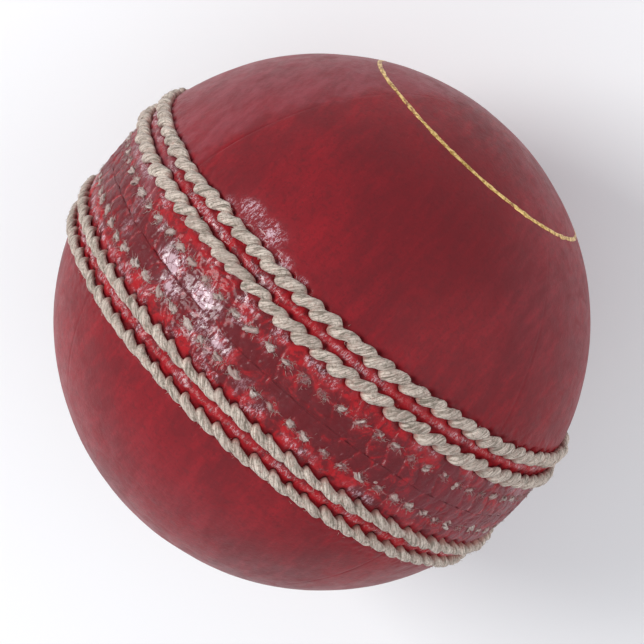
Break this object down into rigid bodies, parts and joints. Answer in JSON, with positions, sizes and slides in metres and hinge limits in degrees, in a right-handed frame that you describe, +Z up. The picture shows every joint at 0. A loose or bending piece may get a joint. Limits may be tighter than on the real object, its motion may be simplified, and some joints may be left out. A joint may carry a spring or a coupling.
{
  "type": "cricket ball",
  "caption": "Red leather ball with a raised hand-stitched main seam, a wound cork and yarn core, and a gold ring on one half.",
  "frame": {"origin": "centre of the ball", "axes": "+Y out of the pole of the stamped half, the half with the foil ring; +Z up; the main seam stands in the XZ plane"},
  "size_m": [0.0728, 0.072, 0.0728],
  "materials": {
    "red_leather": "lacquered, mottled deep red with worn pink patches",
    "seam_thread": "waxed linen thread, cream with red dye in its folds",
    "closing_thread": "waxed linen thread, stained by the leather's dye",
    "hidden_thread": "plain linen thread",
    "gold_foil": "thin stamped foil, worn through in places",
    "lining_leather": "undyed matt leather",
    "wool_yarn": "tightly wound wool yarn",
    "sheet_cork": "thin sheet cork",
    "cork_and_rubber": "cork granules bound in rubber"
  },
  "bodies": {
    "root": {"cover_quarter_stamped_1": "red_leather", "cover_quarter_stamped_2": "red_leather", "cover_quarter_plain_1": "red_leather", "cover_quarter_plain_2": "red_leather", "seam_row_stamped_inner": "seam_thread", "seam_row_stamped_outer": "seam_thread", "seam_row_plain_inner": "seam_thread", "seam_row_plain_outer": "seam_thread", "closing_stitch_stamped": "closing_thread", "closing_stitch_plain": "closing_thread", "quarter_stitch_stamped": "hidden_thread", "quarter_stitch_plain": "hidden_thread", "foil_ring": "gold_foil", "lining_stamped": "lining_leather", "lining_plain": "lining_leather", "yarn_winding_4": "wool_yarn", "yarn_winding_3": "wool_yarn", "yarn_winding_2": "wool_yarn", "yarn_winding_1": "wool_yarn", "cork_layer_3": "sheet_cork", "cork_layer_2": "sheet_cork", "cork_layer_1": "sheet_cork", "cork_nucleus": "cork_and_rubber"}
  },
  "joints": []
}
